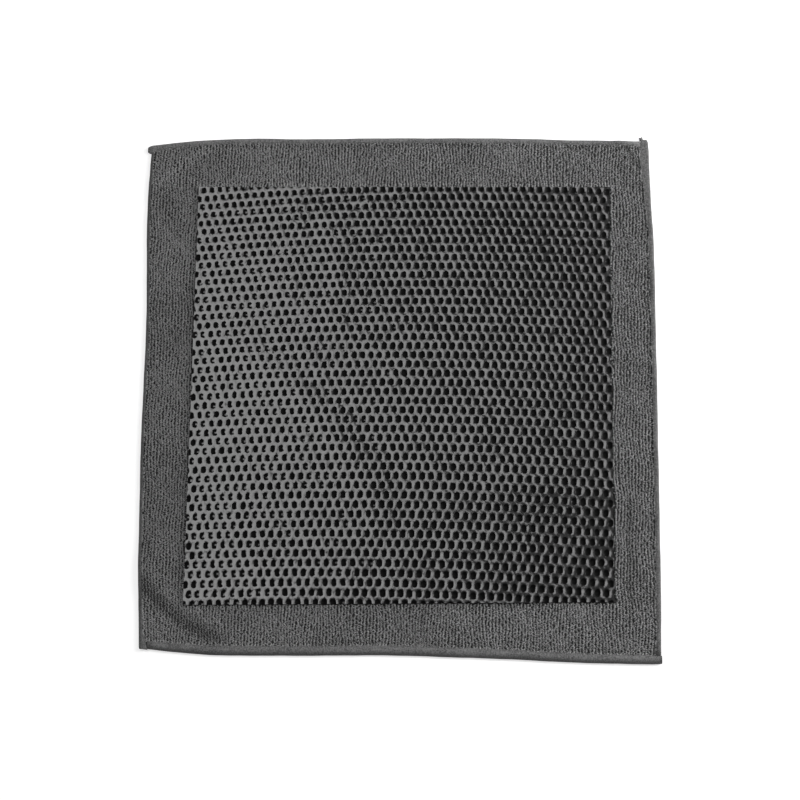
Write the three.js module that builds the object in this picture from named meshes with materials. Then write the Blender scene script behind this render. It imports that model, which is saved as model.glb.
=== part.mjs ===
// A clay towel: a square of looped microfibre cloth, a moulded clay layer bonded to its
// middle, and four lengths of narrow folded tape sewn round its edges.
// Millimetres, +Z up. The towel lies on the plane z = 0, with its top edge towards +Y.

import * as THREE from 'three';

// ---------------------------------------------------------------- driving sizes

const GAP = 0.3; // clear space between neighbouring pieces
const CLOTH_THICK = 2.4; // looped cloth with its pile
const HEM_THICK = 1.2; // the same cloth pressed flat inside the binding
const CLAY_THICK = 1.4;
const TAPE_THICK = 0.45;
const TAPE_FLAP = 4.2; // width of each folded flap, from the cloth's edge inwards
const TAPE_ROUND = 0.4; // chamfer that stands for the tape's rounded fold
const HEM_WIDTH = TAPE_FLAP + GAP; // the pressed strip along each edge of the cloth
const PILE_RISE = 4; // from the pressed strip to the full pile
const CLAY_STEPS = 20; // grid cells across the clay layer, both ways
const BORDER_STEPS = 3; // grid cells from the full pile to the clay layer

const HEM_BASE = TAPE_THICK + GAP; // underside of the pressed strip
const CLAY_BASE = CLOTH_THICK + GAP; // underside of the clay layer
const TAPE_HEIGHT = HEM_BASE + HEM_THICK + GAP + TAPE_THICK;

// The towel's outer outline: how far each edge lies from the middle lines, in `out`,
// at places along it, in `along`.
const TOP_EDGE = [
  { along: -151, out: 150.6 },
  { along: -134, out: 152.2 },
  { along: -116, out: 153.5 },
  { along: -89, out: 154.2 },
  { along: -62, out: 153.4 },
  { along: 0, out: 152.9 },
  { along: 73, out: 151.4 },
  { along: 104, out: 149.8 },
  { along: 128, out: 149.2 },
  { along: 151, out: 148.0 },
];
const BOTTOM_EDGE = [
  { along: -151, out: 148.2 },
  { along: -136, out: 150.0 },
  { along: -119, out: 151.6 },
  { along: -102, out: 152.6 },
  { along: -76, out: 152.9 },
  { along: 0, out: 152.9 },
  { along: 35, out: 154.1 },
  { along: 69, out: 155.3 },
  { along: 103, out: 157.1 },
  { along: 151, out: 158.0 },
];
const LEFT_EDGE = [
  { along: -150, out: 148.6 },
  { along: -120, out: 149.6 },
  { along: -80, out: 150.3 },
  { along: -28, out: 150.4 },
  { along: 0, out: 149.9 },
  { along: 35, out: 149.1 },
  { along: 70, out: 149.5 },
  { along: 108, out: 150.1 },
  { along: 136, out: 149.1 },
  { along: 151, out: 148.0 },
];
const RIGHT_EDGE = [
  { along: -159, out: 148.4 },
  { along: -110, out: 149.3 },
  { along: -60, out: 149.6 },
  { along: 0, out: 150.0 },
  { along: 67, out: 150.2 },
  { along: 90, out: 150.1 },
  { along: 112, out: 149.1 },
  { along: 150, out: 148.4 },
];

// Corners of the clay layer, which is cut with straight sides
const CLAY = {
  topLeft: { x: -118.9, y: 123.9 },
  topRight: { x: 124.6, y: 120.0 },
  bottomLeft: { x: -123.1, y: -124.1 },
  bottomRight: { x: 122.8, y: -123.1 },
};

// Soft raised folds. Each follows a line between two points that bows out by `bow` to
// its left, and falls away over `left` and `right` on its two sides.
const FOLDS = [
  { from: [-128, 42], to: [0, -95], bow: 20, left: 18, right: 12, height: 0.7 }, // clay ridge
  { from: [-48, 122], to: [-38, 34], bow: 8, left: 14, right: 16, height: 0.35 }, // above it
  { from: [-166, -87.5], to: [-92, -143], bow: -7.4, left: 22, right: 12, height: 1.3 }, // lower left
  { from: [-158, 92], to: [-90, 153], bow: 0, left: 9, right: 12, height: 0.45 }, // upper left
  { from: [-166, 110], to: [-106, 162], bow: 0, left: 9, right: 9, height: 0.5 }, // its corner
  { from: [127, 156], to: [146, 128], bow: 0, left: 8, right: 7, height: 0.5 }, // upper right
  { from: [140, -34], to: [139, -150], bow: 0, left: 8, right: 9, height: 0.5 }, // right border
];
const FOLD_FADE = 0.25; // share of a fold's length over which each end dies away

// The four bindings, in pinwheel order: each butts against the one before it and its
// far end runs on past the next corner by `tip`.
const BINDINGS = [
  { node: 'binding_top', tip: 2.4, tipNarrowing: 0.7 },
  { node: 'binding_left', tip: 0.4, tipNarrowing: 0 },
  { node: 'binding_bottom', tip: 0.4, tipNarrowing: 0 },
  { node: 'binding_right', tip: 0.9, tipNarrowing: 0.3 },
];

const FINISHES = {
  cloth: { color: 0x5c5c5c, roughness: 0.95, metalness: 0 },
  clay: { color: 0x2a2a2a, roughness: 0.42, metalness: 0 },
  binding: { color: 0x565656, roughness: 0.85, metalness: 0 },
};

// ---------------------------------------------------------------- outline and folds

// A smooth curve through a table's rows: cubic pieces whose slopes come from the
// neighbouring rows.
function edgeOut(table, along) {
  const last = table.length - 1;
  let i = 0;
  while (i < last - 1 && along > table[i + 1].along) i += 1;
  const slope = (k) => {
    const before = table[Math.max(k - 1, 0)];
    const after = table[Math.min(k + 1, last)];
    return (after.out - before.out) / (after.along - before.along);
  };
  const a = table[i];
  const b = table[i + 1];
  const step = b.along - a.along;
  const t = THREE.MathUtils.clamp((along - a.along) / step, 0, 1);
  const rise = t * t * (3 - 2 * t);
  const leave = t * (1 - t) * (1 - t) * step * slope(i);
  const arrive = t * t * (t - 1) * step * slope(i + 1);
  return a.out + (b.out - a.out) * rise + leave + arrive;
}

// Half a cosine wave: 1 at 0, falling smoothly to 0 at 1 and staying there.
function hump(x) {
  return 0.5 + 0.5 * Math.cos(Math.PI * Math.min(Math.abs(x), 1));
}

function foldHeight(fold, x, y) {
  const dx = fold.to[0] - fold.from[0];
  const dy = fold.to[1] - fold.from[1];
  const length = Math.hypot(dx, dy);
  const u = ((x - fold.from[0]) * dx + (y - fold.from[1]) * dy) / length ** 2;
  if (u <= 0 || u >= 1) return 0;
  const aside = ((y - fold.from[1]) * dx - (x - fold.from[0]) * dy) / length;
  const off = aside - fold.bow * 4 * u * (1 - u);
  const fade = hump(Math.max(0, 1 - Math.min(u, 1 - u) / FOLD_FADE));
  const side = off > 0 ? fold.left : fold.right;
  return fold.height * fade * (Math.abs(off) < side ? hump(off / side) : 0);
}

function relief(x, y) {
  return FOLDS.reduce((sum, fold) => sum + foldHeight(fold, x, y), 0);
}

// ---------------------------------------------------------------- grid lines

// A point on the straight line through two corners of the clay layer, at a given x or y
const lineX = (a, b, y) => a.x + ((b.x - a.x) * (y - a.y)) / (b.y - a.y);
const lineY = (a, b, x) => a.y + ((b.y - a.y) * (x - a.x)) / (b.x - a.x);

const TAPE_OUTSIDE = TAPE_THICK + GAP; // from the cloth's edge to the outer outline

// Where the grid lines lie: at the low edge and where the pressed strip ends, in steps
// to the clay layer, across the clay layer, and the same again to the high edge.
function gridLines() {
  const border = [{ zone: 'edge', share: 0 }, { zone: 'edge', share: 1 }];
  for (let k = 0; k < BORDER_STEPS; k += 1) border.push({ zone: 'border', share: k / BORDER_STEPS });
  const lines = border.map((line) => ({ ...line, high: false }));
  for (let k = 0; k <= CLAY_STEPS; k += 1) lines.push({ zone: 'clay', share: k / CLAY_STEPS });
  border.reverse().forEach((line) => lines.push({ ...line, high: true }));
  return lines;
}

const LINES = gridLines();
const LAST = LINES.length - 1;
const CLAY_FIRST = LINES.findIndex((line) => line.zone === 'clay');
const CLAY_LAST = CLAY_FIRST + CLAY_STEPS;

// The coordinate of one grid line, between a low and a high edge of the cloth and of
// the clay layer.
function lineAt(line, low, clayLow, clayHigh, high) {
  if (line.zone === 'clay') return THREE.MathUtils.lerp(clayLow, clayHigh, line.share);
  const edge = line.high ? high : low;
  const inwards = line.high ? -1 : 1;
  if (line.zone === 'edge') return edge + inwards * HEM_WIDTH * line.share;
  const pile = edge + inwards * (HEM_WIDTH + PILE_RISE);
  return THREE.MathUtils.lerp(pile, line.high ? clayHigh : clayLow, line.share);
}

function columnX(column, y) {
  return lineAt(
    LINES[column],
    TAPE_OUTSIDE - edgeOut(LEFT_EDGE, y),
    lineX(CLAY.topLeft, CLAY.bottomLeft, y),
    lineX(CLAY.topRight, CLAY.bottomRight, y),
    edgeOut(RIGHT_EDGE, y) - TAPE_OUTSIDE,
  );
}

function rowY(row, x) {
  return lineAt(
    LINES[row],
    TAPE_OUTSIDE - edgeOut(BOTTOM_EDGE, x),
    lineY(CLAY.bottomLeft, CLAY.bottomRight, x),
    lineY(CLAY.topLeft, CLAY.topRight, x),
    edgeOut(TOP_EDGE, x) - TAPE_OUTSIDE,
  );
}

// Where a column crosses a row. Both are nearly straight, so a few rounds settle it.
function crossing(column, row) {
  const rounds = 6;
  let x = columnX(column, 0);
  let y = 0;
  for (let k = 0; k < rounds; k += 1) {
    y = rowY(row, x);
    x = columnX(column, y);
  }
  return new THREE.Vector2(x, y);
}

// ---------------------------------------------------------------- solids

function solid(points, triangles, finish, node) {
  const geometry = new THREE.BufferGeometry();
  const flat = points.flatMap((p) => [p.x, p.y, p.z]);
  geometry.setAttribute('position', new THREE.Float32BufferAttribute(flat, 3));
  geometry.setIndex(triangles.flat());
  geometry.computeVertexNormals();
  const mesh = new THREE.Mesh(geometry, new THREE.MeshStandardMaterial(finish));
  mesh.name = node;
  return mesh;
}

// A closed sheet on the grid between two lines each way. `under` and `over` give the
// heights of its two faces above the folds, at a column and a row.
function sheet(first, last, under, over, finish, node) {
  const count = last - first + 1;
  const points = [];
  [under, over].forEach((height) => {
    for (let row = first; row <= last; row += 1) {
      for (let column = first; column <= last; column += 1) {
        const p = crossing(column, row);
        points.push(new THREE.Vector3(p.x, p.y, relief(p.x, p.y) + height(column, row)));
      }
    }
  });
  const low = (i, j) => j * count + i;
  const high = (i, j) => count * count + low(i, j);
  const triangles = [];
  const end = count - 1;
  for (let j = 0; j < end; j += 1) {
    for (let i = 0; i < end; i += 1) {
      triangles.push([high(i, j), high(i + 1, j), high(i + 1, j + 1)]);
      triangles.push([high(i, j), high(i + 1, j + 1), high(i, j + 1)]);
      triangles.push([low(i, j), low(i + 1, j + 1), low(i + 1, j)]);
      triangles.push([low(i, j), low(i, j + 1), low(i + 1, j + 1)]);
    }
  }
  const wall = (a, b, c, d) => triangles.push([a, b, c], [a, c, d]);
  for (let k = 0; k < end; k += 1) {
    wall(low(k, 0), low(k + 1, 0), high(k + 1, 0), high(k, 0));
    wall(low(end, k), low(end, k + 1), high(end, k + 1), high(end, k));
    wall(low(k + 1, end), low(k, end), high(k, end), high(k + 1, end));
    wall(low(0, k + 1), low(0, k), high(0, k), high(0, k + 1));
  }
  return solid(points, triangles, finish, node);
}

const isHem = (line) => line <= 1 || line >= LAST - 1;

function clothSheet() {
  const under = (column, row) => (isHem(column) || isHem(row) ? HEM_BASE : 0);
  const over = (column, row) => (isHem(column) || isHem(row) ? HEM_BASE + HEM_THICK : CLOTH_THICK);
  return sheet(0, LAST, under, over, FINISHES.cloth, 'cloth');
}

function clayLayer() {
  const under = () => CLAY_BASE;
  const over = () => CLAY_BASE + CLAY_THICK;
  return sheet(CLAY_FIRST, CLAY_LAST, under, over, FINISHES.clay, 'clay_layer');
}

// The folded tape's section, a U lying on its side: `n` runs in from the cloth's edge.
// It goes round the outside from the lower flap to the upper, and back inside.
const TAPE_SECTION = [
  { n: TAPE_FLAP, z: 0 },
  { n: TAPE_ROUND - TAPE_OUTSIDE, z: 0 },
  { n: -TAPE_OUTSIDE, z: TAPE_ROUND },
  { n: -TAPE_OUTSIDE, z: TAPE_HEIGHT - TAPE_ROUND },
  { n: TAPE_ROUND - TAPE_OUTSIDE, z: TAPE_HEIGHT },
  { n: TAPE_FLAP, z: TAPE_HEIGHT },
  { n: TAPE_FLAP, z: TAPE_HEIGHT - TAPE_THICK },
  { n: -GAP, z: TAPE_HEIGHT - TAPE_THICK },
  { n: -GAP, z: TAPE_THICK },
  { n: TAPE_FLAP, z: TAPE_THICK },
];

// The grid points along each edge and just inside it, from the far corner, where the
// tape starts against its neighbour, to the corner that it runs past.
const EDGE_POINTS = {
  binding_top: (k, inset) => crossing(LAST - k, LAST - inset),
  binding_left: (k, inset) => crossing(inset, LAST - k),
  binding_bottom: (k, inset) => crossing(k, inset),
  binding_right: (k, inset) => crossing(LAST - inset, k),
};

// The stations of a tape: a point on the cloth's edge, the way inwards, and how much
// of the section's width is drawn in there.
function tapeStations(binding) {
  const at = EDGE_POINTS[binding.node];
  const stations = [];
  for (let k = 1; k <= LAST; k += 1) {
    const edge = at(k, 0);
    const inwards = at(k, 1).sub(edge).normalize();
    stations.push({ edge, inwards, narrowing: 0 });
  }
  const corner = stations[stations.length - 1];
  const along = corner.edge.clone().sub(stations[stations.length - 2].edge).normalize();
  const reach = TAPE_OUTSIDE + binding.tip;
  const past = (distance) => corner.edge.clone().addScaledVector(along, distance);
  const inwards = corner.inwards;
  stations.push({ edge: past(reach * 0.6), inwards, narrowing: 0 });
  stations.push({ edge: past(reach), inwards, narrowing: binding.tipNarrowing });
  return stations;
}

function bindingTape(binding) {
  const ring = TAPE_SECTION.length;
  const middle = (TAPE_FLAP - TAPE_OUTSIDE) / 2;
  const stations = tapeStations(binding);
  const points = stations.flatMap((station) =>
    TAPE_SECTION.map((corner) => {
      const share = 1 - (2 * station.narrowing) / (TAPE_FLAP + TAPE_OUTSIDE);
      const n = middle + (corner.n - middle) * share;
      const p = station.edge.clone().addScaledVector(station.inwards, n);
      return new THREE.Vector3(p.x, p.y, relief(p.x, p.y) + corner.z);
    }),
  );
  const triangles = [];
  for (let k = 0; k < stations.length - 1; k += 1) {
    for (let i = 0; i < ring; i += 1) {
      const here = k * ring + i;
      const beside = k * ring + ((i + 1) % ring);
      triangles.push([here, beside + ring, beside], [here, here + ring, beside + ring]);
    }
  }
  const section = TAPE_SECTION.map((corner) => new THREE.Vector2(corner.n, corner.z));
  const far = (stations.length - 1) * ring;
  THREE.ShapeUtils.triangulateShape(section, []).forEach(([a, b, c]) => {
    triangles.push([a, c, b], [far + a, far + b, far + c]);
  });
  return solid(points, triangles, FINISHES.binding, binding.node);
}

// ---------------------------------------------------------------- the towel

const towel = new THREE.Group();
towel.add(clothSheet(), clayLayer(), ...BINDINGS.map(bindingTape));

// The origin is under the middle of the towel's box.
const box = new THREE.Box3().setFromObject(towel);
const centre = box.getCenter(new THREE.Vector3());
towel.position.set(-centre.x, -centre.y, -box.min.z);

export default towel;
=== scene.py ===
# %% [markdown]
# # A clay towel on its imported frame
#
# A clay towel is a square of looped microfibre cloth with a thin layer of clay rubber
# bonded to its middle. The layer is moulded with staggered oval pits, and narrow folded
# tape is sewn round the cloth's edges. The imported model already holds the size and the
# place of each part, so this lesson only adds what the eye sees: loops, pits, weave,
# stitches and light. The first step is always to load that frame.

# %% Load the frame
import math

import bmesh
import bpy
import numpy as np
from mathutils import Matrix, Vector
from mathutils.geometry import delaunay_2d_cdt


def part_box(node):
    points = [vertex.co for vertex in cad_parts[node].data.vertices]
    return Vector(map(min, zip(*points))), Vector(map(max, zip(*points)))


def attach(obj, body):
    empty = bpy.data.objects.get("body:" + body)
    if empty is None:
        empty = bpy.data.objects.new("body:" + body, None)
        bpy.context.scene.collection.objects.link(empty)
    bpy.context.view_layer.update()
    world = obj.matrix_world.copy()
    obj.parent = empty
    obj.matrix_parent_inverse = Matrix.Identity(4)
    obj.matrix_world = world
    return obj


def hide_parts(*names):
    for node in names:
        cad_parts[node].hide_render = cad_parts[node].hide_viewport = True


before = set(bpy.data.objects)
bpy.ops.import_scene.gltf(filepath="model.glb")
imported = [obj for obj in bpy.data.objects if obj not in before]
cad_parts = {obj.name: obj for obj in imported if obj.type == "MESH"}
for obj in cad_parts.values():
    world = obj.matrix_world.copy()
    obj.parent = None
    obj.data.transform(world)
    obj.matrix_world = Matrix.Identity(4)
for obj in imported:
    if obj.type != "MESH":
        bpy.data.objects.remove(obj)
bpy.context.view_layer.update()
scene = bpy.context.scene
print("frame:", sorted(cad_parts))

# %% [markdown]
# ## Sizes
#
# All shapes below are worked out in millimetres, as a maker would measure the towel, and
# are turned into metres once, when a mesh is made. The outline and the folds are short
# tables. Each row of an edge table says how far the outer edge lies from the middle line
# (out) at a place along it (along), because a real towel is never quite square.

# %% Sizes of the towel, in millimetres
MM = 0.001
GAP = 0.3
CLOTH_THICK = 2.4
HEM_THICK = 1.2
CLAY_THICK = 1.4
TAPE_THICK = 0.45
TAPE_FLAP = 4.2
TAPE_OUTSIDE = TAPE_THICK + GAP
HEM_BASE = TAPE_THICK + GAP
CLAY_BASE = CLOTH_THICK + GAP
CLAY_TOP = CLAY_BASE + CLAY_THICK
TAPE_HEIGHT = HEM_BASE + HEM_THICK + GAP + TAPE_THICK
PILE_RISE = 4.0

# rows: along, out
TOP_EDGE = [(-151, 150.6), (-134, 152.2), (-116, 153.5), (-89, 154.2), (-62, 153.4),
            (0, 152.9), (73, 151.4), (104, 149.8), (128, 149.2), (151, 148.0)]
BOTTOM_EDGE = [(-151, 148.2), (-136, 150.0), (-119, 151.6), (-102, 152.6), (-76, 152.9),
               (0, 152.9), (35, 154.1), (69, 155.3), (103, 157.1), (151, 158.0)]
LEFT_EDGE = [(-150, 148.6), (-120, 149.6), (-80, 150.3), (-28, 150.4), (0, 149.9),
             (35, 149.1), (70, 149.5), (108, 150.1), (136, 149.1), (151, 148.0)]
RIGHT_EDGE = [(-159, 148.4), (-110, 149.3), (-60, 149.6), (0, 150.0), (67, 150.2),
              (90, 150.1), (112, 149.1), (150, 148.4)]

CLAY_CORNERS = {
    "top_left": (-118.9, 123.9),
    "top_right": (124.6, 120.0),
    "bottom_left": (-123.1, -124.1),
    "bottom_right": (122.8, -123.1),
}

# rows: from, to, bow, left, right, height
FOLDS = [
    ((-128, 42), (0, -95), 20, 18, 12, 0.7),  # the ridge across the clay layer
    ((-48, 122), (-38, 34), 8, 14, 16, 0.35),  # above it
    ((-166, -87.5), (-92, -143), -7.4, 22, 12, 1.3),  # the buckle at the lower left corner
    ((-158, 92), (-90, 153), 0, 9, 12, 0.45),  # upper left
    ((-166, 110), (-106, 162), 0, 9, 9, 0.5),  # its corner
    ((127, 156), (146, 128), 0, 8, 7, 0.5),  # upper right
    ((140, -34), (139, -150), 0, 8, 9, 0.5),  # along the right border
]
FOLD_FADE = 0.25

# the same kind of rows, for creases pressed into the loops alone
CREASES = [
    ((-156, -99), (-95, -146.5), -7.4, 8.0, 6.0, 0.60),  # below the lower left buckle
    ((131.8, -50), (131.6, -137), 0, 2.4, 2.4, 0.40),  # along the right border
    ((132.0, 149), (144, 130), 0, 2.4, 2.4, 0.40),  # upper right
    ((-154, 119), (-109, 153), 0, 6, 5, -0.25),  # upper left
    ((-147, 134), (-126, 84), 0, 8, 8, 0.16),  # beside it
]

# The frame has its origin under the middle of the towel's box, a little away from the
# middle lines of the tables, so every mesh is shifted by this much.
clay_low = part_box("clay_layer")[0]
lowest_x = min(x for x, y in CLAY_CORNERS.values())
lowest_y = min(y for x, y in CLAY_CORNERS.values())
SHIFT = np.array([clay_low.x / MM - lowest_x, clay_low.y / MM - lowest_y, 0.0])
print("shift of the tables, in mm:", SHIFT.round(2))

# %% [markdown]
# ## Outline and folds as functions
#
# With a few functions that work on whole arrays at once, every piece can ask the same
# two questions: how far is this point from the edge, and how high does the cloth lie
# here? Each fold is a soft ridge along a bowed line, and the lie of the towel is simply
# their sum. That keeps cloth, clay, loops and tape in step with each other.


# %% Outline and folds
def edge_out(table, along):
    """How far an edge lies from the middle line, on a smooth curve through its rows."""
    at, out = np.array(table, float).T
    last = len(at) - 1
    index = np.arange(len(at))
    before = np.maximum(index - 1, 0)
    after = np.minimum(index + 1, last)
    slope = (out[after] - out[before]) / (at[after] - at[before])
    i = np.clip(np.searchsorted(at, along) - 1, 0, last - 1)
    step = at[i + 1] - at[i]
    t = np.clip((along - at[i]) / step, 0, 1)
    rise = t * t * (3 - 2 * t)
    leave = t * (1 - t) ** 2 * step * slope[i]
    arrive = t * t * (t - 1) * step * slope[i + 1]
    return out[i] + (out[i + 1] - out[i]) * rise + leave + arrive


def hump(x):
    """Half a cosine wave: 1 at 0, and 0 from 1 onwards."""
    return 0.5 + 0.5 * np.cos(np.pi * np.minimum(np.abs(x), 1))


def smooth_step(low, high, x):
    t = np.clip((x - low) / (high - low), 0, 1)
    return t * t * (3 - 2 * t)


def relief(x, y, rows=FOLDS):
    """Height that the folds add at a point."""
    total = np.zeros(np.broadcast(x, y).shape)
    for start, end, bow, left, right, height in rows:
        dx = end[0] - start[0]
        dy = end[1] - start[1]
        length = math.hypot(dx, dy)
        u = ((x - start[0]) * dx + (y - start[1]) * dy) / length**2
        aside = ((y - start[1]) * dx - (x - start[0]) * dy) / length
        off = aside - bow * 4 * u * (1 - u)
        from_end = np.maximum(1 - np.minimum(u, 1 - u) / FOLD_FADE, 0)
        fade = hump(from_end) * ((u > 0) & (u < 1))
        total = total + height * fade * hump(off / np.where(off > 0, left, right))
    return total


def line_x(a, b, y):
    (ax, ay), (bx, by) = CLAY_CORNERS[a], CLAY_CORNERS[b]
    return ax + (bx - ax) * (y - ay) / (by - ay)


def line_y(a, b, x):
    (ax, ay), (bx, by) = CLAY_CORNERS[a], CLAY_CORNERS[b]
    return ay + (by - ay) * (x - ax) / (bx - ax)


def edge_insets(x, y):
    """Distance in from the outer outline, for each side of the towel."""
    return {
        "left": x + edge_out(LEFT_EDGE, y),
        "right": edge_out(RIGHT_EDGE, y) - x,
        "bottom": y + edge_out(BOTTOM_EDGE, x),
        "top": edge_out(TOP_EDGE, x) - y,
    }


def clay_insets(x, y):
    """Distance in from each side of the clay layer; negative outside it."""
    return {
        "left": x - line_x("top_left", "bottom_left", y),
        "right": line_x("top_right", "bottom_right", y) - x,
        "bottom": y - line_y("bottom_left", "bottom_right", x),
        "top": line_y("top_left", "top_right", x) - y,
    }


def nearest(insets):
    return np.minimum.reduce(list(insets.values()))

# %% [markdown]
# ## Camera and light
#
# The towel is looked at nearly straight down, through a long lens, so its sides stay
# almost parallel. Dark glossy rubber shows little colour of its own and mirrors what hangs
# above it. So three soft boxes overlap overhead and to the left, and their sum fades from
# left to right in soft steps: a fold then shows as a pale or a dark band, because its
# flanks mirror other parts of them. One wide soft light low on the right brings out the
# loops, and the world gives a faint even fill.

# %% Camera
SENSOR = 36.0
FOCAL_SHARE = 2.143  # focal length as a share of the sensor
DISTANCE = 1.0
TILT = math.radians(10.0)  # towards the bottom edge
YAW = math.radians(3.0)  # towards the right edge
AIM = Vector((1.05 + SHIFT[0], -5.5 + SHIFT[1], 0.0)) * MM


def aimed(place, target):
    """The matrix that puts a camera or a lamp at a place and turns it to a target."""
    place = Vector(place)
    ahead = (Vector(target) - place).normalized()
    right_hand = ahead.cross(Vector((0, 1, 0))).normalized()
    turn = Matrix((right_hand, right_hand.cross(ahead), -ahead)).transposed()
    return Matrix.Translation(place) @ turn.to_4x4()


middle = Vector((SHIFT[0], SHIFT[1], 0.0)) * MM
towards = Vector((math.sin(YAW), -math.sin(TILT), math.cos(TILT) * math.cos(YAW)))
stand = middle + towards.normalized() * DISTANCE
camera_data = bpy.data.cameras.new("camera")
camera_data.sensor_width = SENSOR
camera_data.lens = SENSOR * FOCAL_SHARE
camera = bpy.data.objects.new("camera", camera_data)
camera.matrix_world = aimed(stand, AIM)
scene.collection.objects.link(camera)
scene.camera = camera
scene.view_settings.view_transform = "Standard"
print("camera at", tuple(round(c, 3) for c in stand), "lens", round(camera_data.lens, 2))

# %% Lights
FILL = 0.13
# rows: name, place, target, width, depth, radiance, swing round its own axis in degrees
LAMPS = [
    ("overhead_box", (-0.47, 0.30, 1.50), (-0.37, 0.25, 0.0), 0.9, 1.12, 2.22, 17),
    ("overhead_left", (-0.58, 0.30, 1.52), (-0.40, 0.26, 0.0), 0.86, 1.2, 0.45, 0),
    ("overhead_far_left", (-0.78, 0.24, 1.54), (-0.58, 0.20, 0.0), 0.7, 1.25, 0.4, 0),
    ("key_light", (0.75, 0.20, 0.32), (0.0, 0.0, 0.0), 1.1, 0.4, 8.0, 0),
]
for name, place, target, width, depth, radiance, swing in LAMPS:
    lamp_data = bpy.data.lights.new(name, "AREA")
    lamp_data.shape = "RECTANGLE"
    lamp_data.size = width
    lamp_data.size_y = depth
    lamp_data.energy = radiance * math.pi * width * depth
    lamp = bpy.data.objects.new(name, lamp_data)
    lamp.matrix_world = aimed(place, target) @ Matrix.Rotation(math.radians(swing), 4, "Z")
    lamp.visible_camera = False
    scene.collection.objects.link(lamp)
    print(name, "gives", round(lamp_data.energy, 2), "W")

world = bpy.data.worlds.new("studio")
world.use_nodes = True
background = world.node_tree.nodes["Background"]
background.inputs["Color"].default_value = (1, 1, 1, 1)
background.inputs["Strength"].default_value = FILL
scene.world = world

# %% [markdown]
# ## A small language for finishes
#
# A finish is a graph of nodes. Written out node by node it is long and hard to read, so
# one small class wraps a node's output and lets Python's own signs build the graph:
# `grain * 0.5 + 0.2` adds two Math nodes. Greys are mixed with a Mix node instead, and
# any other node comes from the one method `node`. A finish is then a short recipe: a
# function that takes the place on the object and gives what each socket gets.


# %% The class that wraps a socket
class Wire:
    """A node's output, used in sums and passed on to other nodes."""

    def __init__(self, tree, socket=None):
        self.tree = tree
        self.socket = socket

    def node(self, kind, settings=(), inputs=(), out=0):
        made = self.tree.nodes.new(kind)
        for key, value in dict(settings).items():
            setattr(made, key, value)
        for key, value in dict(inputs).items():
            if isinstance(value, Wire):
                self.tree.links.new(value.socket, made.inputs[key])
            else:
                made.inputs[key].default_value = value
        return Wire(self.tree, made.outputs[out] if len(made.outputs) else None)

    def maths(self, operation, first, second):
        return self.node("ShaderNodeMath", {"operation": operation}, {0: first, 1: second})

    def __add__(self, other):
        return self.maths("ADD", self, other)

    __radd__ = __add__

    def __sub__(self, other):
        return self.maths("SUBTRACT", self, other)

    def __rsub__(self, other):
        return self.maths("SUBTRACT", other, self)

    def __mul__(self, other):
        return self.maths("MULTIPLY", self, other)

    __rmul__ = __mul__

    def grey(self, dark, pale):
        """A grey between two, this value being the share of the paler one."""
        inputs = {0: self, 6: (dark, dark, dark, 1), 7: (pale, pale, pale, 1)}
        return self.node("ShaderNodeMix", {"data_type": "RGBA"}, inputs, out=2)

    def scaled(self, factors):
        """This vector with its three parts multiplied."""
        return self.node("ShaderNodeVectorMath", {"operation": "MULTIPLY"}, {0: self, 1: factors})

    def noise(self, scale, detail=2.0, roughness=0.5):
        """Cloudy noise from 0 to 1, this vector being the place."""
        inputs = {"Vector": self, "Scale": scale, "Detail": detail, "Roughness": roughness}
        return self.node("ShaderNodeTexNoise", {}, inputs)

    def bands(self, direction, scale, distortion):
        """Soft stripes from 0 to 1, this vector being the place."""
        settings = {"wave_type": "BANDS", "bands_direction": direction}
        inputs = {"Vector": self, "Scale": scale, "Distortion": distortion, "Detail": 1.0}
        return self.node("ShaderNodeTexWave", settings, inputs, out="Fac")

    def mark(self, name, out="Fac"):
        """What a mesh says of itself at each point, under a name."""
        return self.node("ShaderNodeAttribute", {"attribute_name": name}, out=out)

    def spread(self, low, high):
        """This value stretched so that low becomes 0 and high becomes 1, and kept there."""
        inputs = {"Value": self, "From Min": low, "From Max": high}
        return self.node("ShaderNodeMapRange", {}, inputs)

    def bump(self, strength, depth, below=None):
        """A normal from this height, on top of another normal if one is given."""
        inputs = {"Height": self, "Strength": strength, "Distance": depth}
        if below is not None:
            inputs["Normal"] = below
        return self.node("ShaderNodeBump", {}, inputs)


# %% From a recipe to a material
def finish(name, recipe, *details):
    """A material whose shader's sockets are what a recipe gives for a place."""
    material = bpy.data.materials.new(name)
    material.use_nodes = True
    tree = material.node_tree
    tree.nodes.clear()
    place = Wire(tree).node("ShaderNodeTexCoord", out="Object")
    sockets = recipe(place, *details)
    inputs = {key.replace("_", " "): value for key, value in sockets.items()}
    shader = place.node("ShaderNodeBsdfPrincipled", {}, inputs)
    place.node("ShaderNodeOutputMaterial", {}, {"Surface": shader})
    print("finish", name, "has", len(tree.nodes), "nodes")
    return material

# %% [markdown]
# ## Finishes
#
# Microfibre is dull and soft: a grey that changes from loop to loop and from speck to
# speck, with painted light on the loops' tops and painted shade on their sides, fine
# fibres as bump and a little sheen at grazing angles. The clay rubber is nearly black
# with a soft gloss, mottled where it was handled; down in the pits it is painted darker
# and made dull, a painted shade that stands in for the dark of deep pits, but here and
# there a pit's floor is glossy. The tape is a flat woven band: its bump runs in threads
# along and across it, under a fuzz of broken fibres, and its outer fold carries painted
# light and shade.

# %% Microfibre finishes
SOFT = {"Specular_IOR_Level": 0.25, "Sheen_Weight": 0.25, "Sheen_Roughness": 0.5}


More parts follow.
